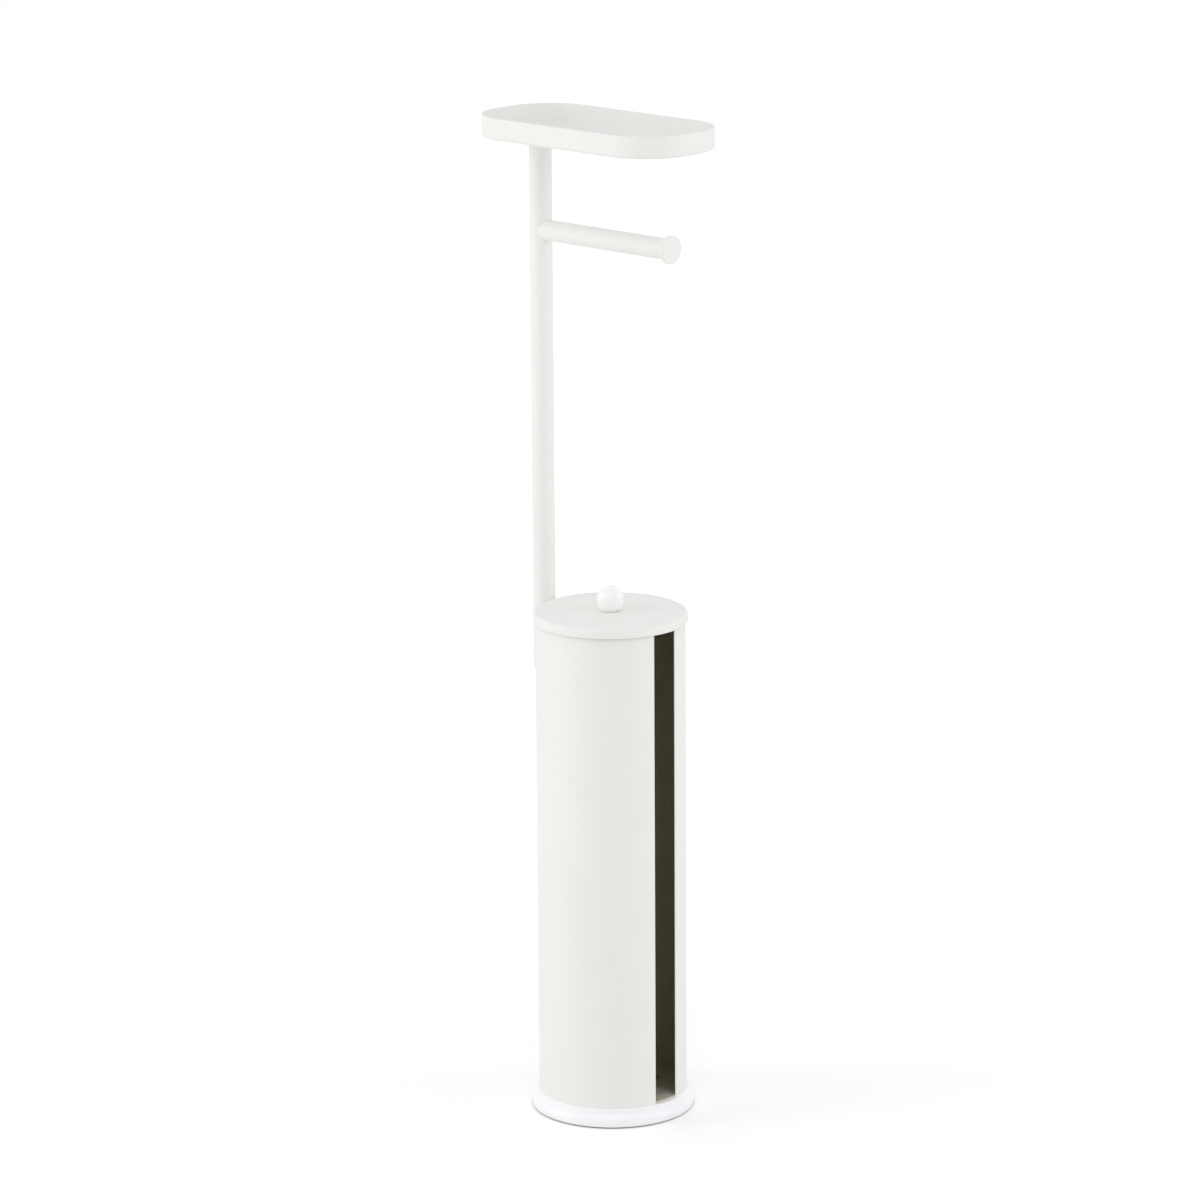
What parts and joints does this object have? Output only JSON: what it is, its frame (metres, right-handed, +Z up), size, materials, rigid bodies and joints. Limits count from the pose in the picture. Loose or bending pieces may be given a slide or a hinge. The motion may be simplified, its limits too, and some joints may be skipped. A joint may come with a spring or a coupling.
{
  "type": "toilet paper holder with shelf",
  "caption": "Free-standing toilet roll holder: slotted column for spare rolls with a lift-off lid, on a round base, and a pole behind it with a roll arm and a tray on top.",
  "frame": {"origin": "centre of the underside of the foot pad, on the floor", "axes": "+Z up along the column and the pole; -Y to the front, where the slot and the roll arm point; +X to the right seen from the front"},
  "size_m": [0.15, 0.233, 0.9215],
  "materials": {
    "white_coat": "matt powder coat",
    "inside_primer": "thin matt primer",
    "weight_steel": "raw, oiled",
    "pad_rubber": "matt",
    "zinc_screw": "bright zinc plate",
    "white_plastic": "moulded, fine matt",
    "knob_lacquer": "satin"
  },
  "bodies": {
    "stand": {"base_shell": "white_coat", "base_weight": "weight_steel", "foot_pad": "pad_rubber", "base_screws": "zinc_screw", "column_wall": "white_coat", "column_floor": "inside_primer", "floor_inserts": "zinc_screw", "pole_tube": "white_coat", "pole_end_cap": "white_plastic", "pole_spacers": "white_plastic", "pole_screws": "zinc_screw", "pole_inserts": "zinc_screw", "pole_top_plug": "zinc_screw", "arm_tube": "white_coat", "arm_end_disc": "white_coat", "arm_plug": "zinc_screw", "arm_screw": "zinc_screw", "arm_saddle": "white_plastic", "arm_cover": "white_plastic", "tray": "white_coat", "tray_screws": "zinc_screw"},
    "lid": {"lid_cap": "white_coat", "lid_ring": "white_plastic", "lid_knob": "knob_lacquer", "knob_screw": "zinc_screw", "knob_washer": "zinc_screw"}
  },
  "joints": [
    {"name": "lid_lift", "type": "slide", "parent": "stand", "child": "lid", "axis": [0, 0, 1], "range_m": [0, 0.15]}
  ]
}
